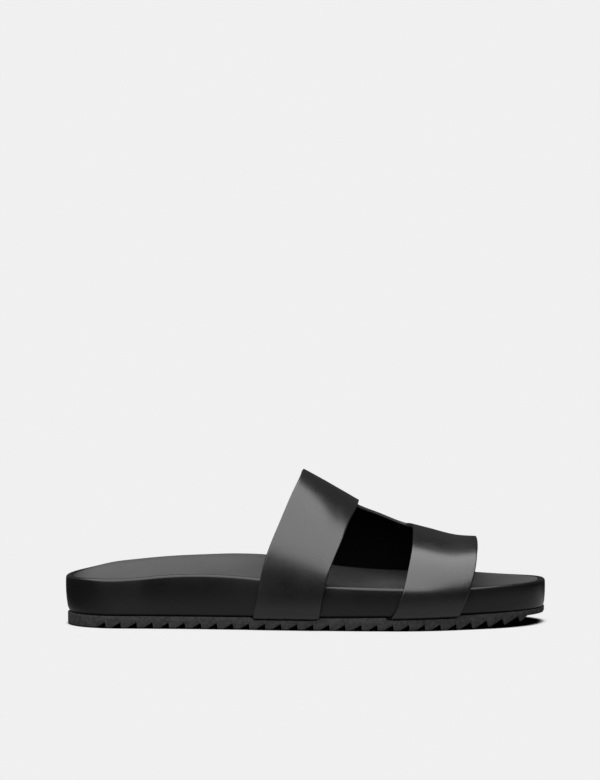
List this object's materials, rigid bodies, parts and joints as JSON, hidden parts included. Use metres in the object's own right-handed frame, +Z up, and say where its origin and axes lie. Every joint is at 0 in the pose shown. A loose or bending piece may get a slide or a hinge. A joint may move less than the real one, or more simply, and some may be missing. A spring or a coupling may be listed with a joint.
{
  "type": "slide sandal",
  "caption": "Slip-on leather slide sandal for the right foot, open at toe and heel, with wide instep bands joined on the inner side, a cupped footbed and a ribbed rubber outsole.",
  "frame": {"origin": "middle of the sandal's box, on the floor", "axes": "+X from heel to toe, +Y to the inner (medial) side, +Z up from the floor"},
  "size_m": [0.2858, 0.1038, 0.0914],
  "materials": {
    "outsole_rubber": "matt moulded rubber",
    "footbed_leather": "smooth leather, low sheen",
    "insole_leather": "soft matt leather",
    "band_leather": "smooth leather, satin"
  },
  "bodies": {
    "root": {"outsole": "outsole_rubber", "footbed": "footbed_leather", "insole": "insole_leather", "upper": "band_leather"}
  },
  "joints": []
}
